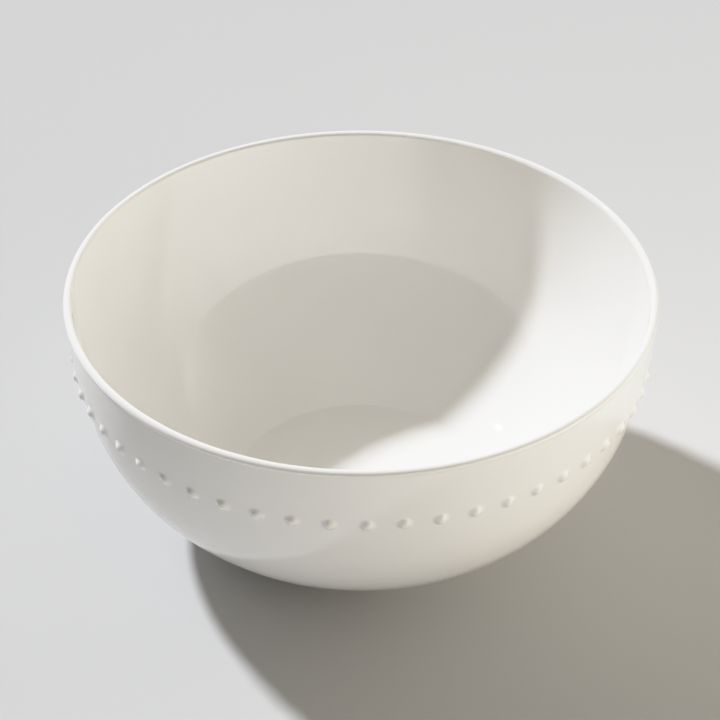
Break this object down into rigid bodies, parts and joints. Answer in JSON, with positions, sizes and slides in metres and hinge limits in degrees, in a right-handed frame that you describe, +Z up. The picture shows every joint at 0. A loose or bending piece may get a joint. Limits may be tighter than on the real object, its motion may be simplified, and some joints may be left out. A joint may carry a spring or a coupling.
{
  "type": "porcelain serving bowl",
  "caption": "Deep round white porcelain serving bowl with a rolled rim, a row of raised beads round the outside and a foot ring to stand on.",
  "frame": {"origin": "centre of the foot ring's resting circle, on the plane that the bowl stands on", "axes": "+Z up along the bowl's axis; the bowl is round, so X and Y are free; -Y is the side that faces the viewer"},
  "size_m": [0.25, 0.25, 0.1135],
  "materials": {
    "glazed_wall": "warm white porcelain under a clear gloss glaze",
    "glazed_rim": "clear gloss glaze, thin over the crown of the roll",
    "bare_foot": "clear gloss glaze on the sides, fine ground bare porcelain where it rests",
    "glazed_beads": "clear gloss glaze, pooled round the foot of each bead"
  },
  "bodies": {
    "root": {"bowl_wall": "glazed_wall", "rolled_rim": "glazed_rim", "foot_ring": "bare_foot", "bead_01": "glazed_beads", "bead_02": "glazed_beads", "bead_03": "glazed_beads", "bead_04": "glazed_beads", "bead_05": "glazed_beads", "bead_06": "glazed_beads", "bead_07": "glazed_beads", "bead_08": "glazed_beads", "bead_09": "glazed_beads", "bead_10": "glazed_beads", "bead_11": "glazed_beads", "bead_12": "glazed_beads", "bead_13": "glazed_beads", "bead_14": "glazed_beads", "bead_15": "glazed_beads", "bead_16": "glazed_beads", "bead_17": "glazed_beads", "bead_18": "glazed_beads", "bead_19": "glazed_beads", "bead_20": "glazed_beads", "bead_21": "glazed_beads", "bead_22": "glazed_beads", "bead_23": "glazed_beads", "bead_24": "glazed_beads", "bead_25": "glazed_beads", "bead_26": "glazed_beads", "bead_27": "glazed_beads", "bead_28": "glazed_beads", "bead_29": "glazed_beads", "bead_30": "glazed_beads", "bead_31": "glazed_beads", "bead_32": "glazed_beads", "bead_33": "glazed_beads", "bead_34": "glazed_beads", "bead_35": "glazed_beads", "bead_36": "glazed_beads", "bead_37": "glazed_beads", "bead_38": "glazed_beads", "bead_39": "glazed_beads", "bead_40": "glazed_beads", "bead_41": "glazed_beads", "bead_42": "glazed_beads", "bead_43": "glazed_beads", "bead_44": "glazed_beads", "bead_45": "glazed_beads", "bead_46": "glazed_beads", "bead_47": "glazed_beads", "bead_48": "glazed_beads", "bead_49": "glazed_beads", "bead_50": "glazed_beads", "bead_51": "glazed_beads", "bead_52": "glazed_beads", "bead_53": "glazed_beads", "bead_54": "glazed_beads", "bead_55": "glazed_beads", "bead_56": "glazed_beads"}
  },
  "joints": []
}
